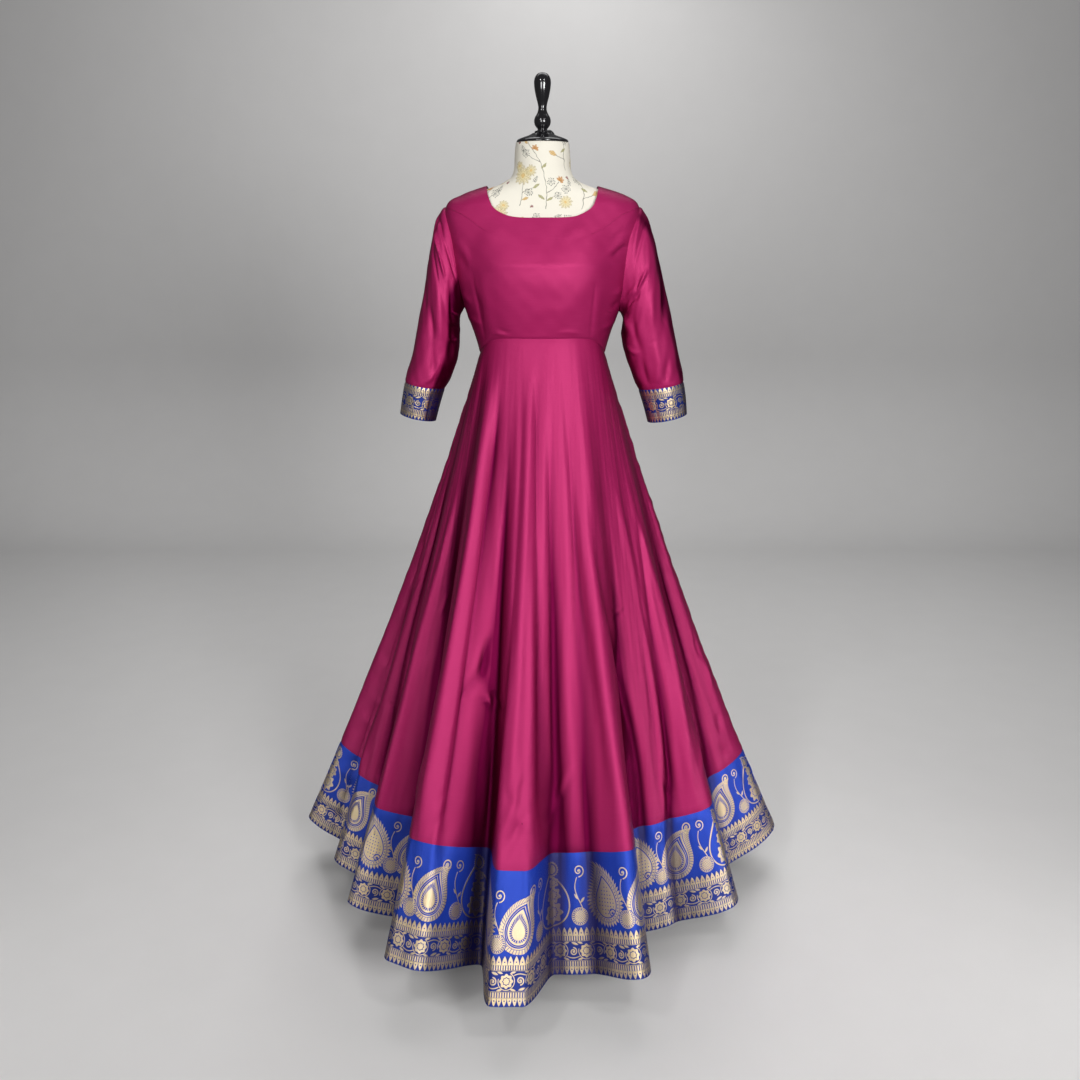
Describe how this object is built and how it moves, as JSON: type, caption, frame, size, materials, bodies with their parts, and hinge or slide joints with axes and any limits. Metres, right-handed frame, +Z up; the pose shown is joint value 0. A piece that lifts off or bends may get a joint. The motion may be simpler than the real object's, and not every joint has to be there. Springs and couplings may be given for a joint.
{
  "type": "anarkali gown on a limbless dress form",
  "caption": "Full-length magenta silk anarkali gown with a flared umbrella skirt and blue and gold woven borders, worn by a limbless dress form on a round stand.",
  "frame": {"origin": "centre of the underside of the round stand base, on the floor", "axes": "+Z up along the stand's pole, -Y towards the gown's front, +X towards the wearer's left"},
  "size_m": [1.043, 1.1599, 1.7207],
  "materials": {
    "magenta_silk": "shot satin silk, soft sheen",
    "zari_border": "blue silk brocade woven with gold metallic thread",
    "form_cover": "matte cream cotton, printed with trailing flowers",
    "black_lacquer": "turned wood in glossy black lacquer",
    "black_steel": "black enamelled steel, satin"
  },
  "bodies": {
    "root": {"bodice_front": "magenta_silk", "bodice_back": "magenta_silk", "sleeve_right": "magenta_silk", "sleeve_left": "magenta_silk", "cuff_border_right": "zari_border", "cuff_border_left": "zari_border", "skirt_front": "magenta_silk", "skirt_back": "magenta_silk", "hem_border_front": "zari_border", "hem_border_back": "zari_border", "form_torso": "form_cover", "form_neck_cap": "black_lacquer", "form_finial": "black_lacquer", "form_cap_lug": "black_lacquer", "stand_pole": "black_steel", "stand_base": "black_lacquer"}
  },
  "joints": []
}
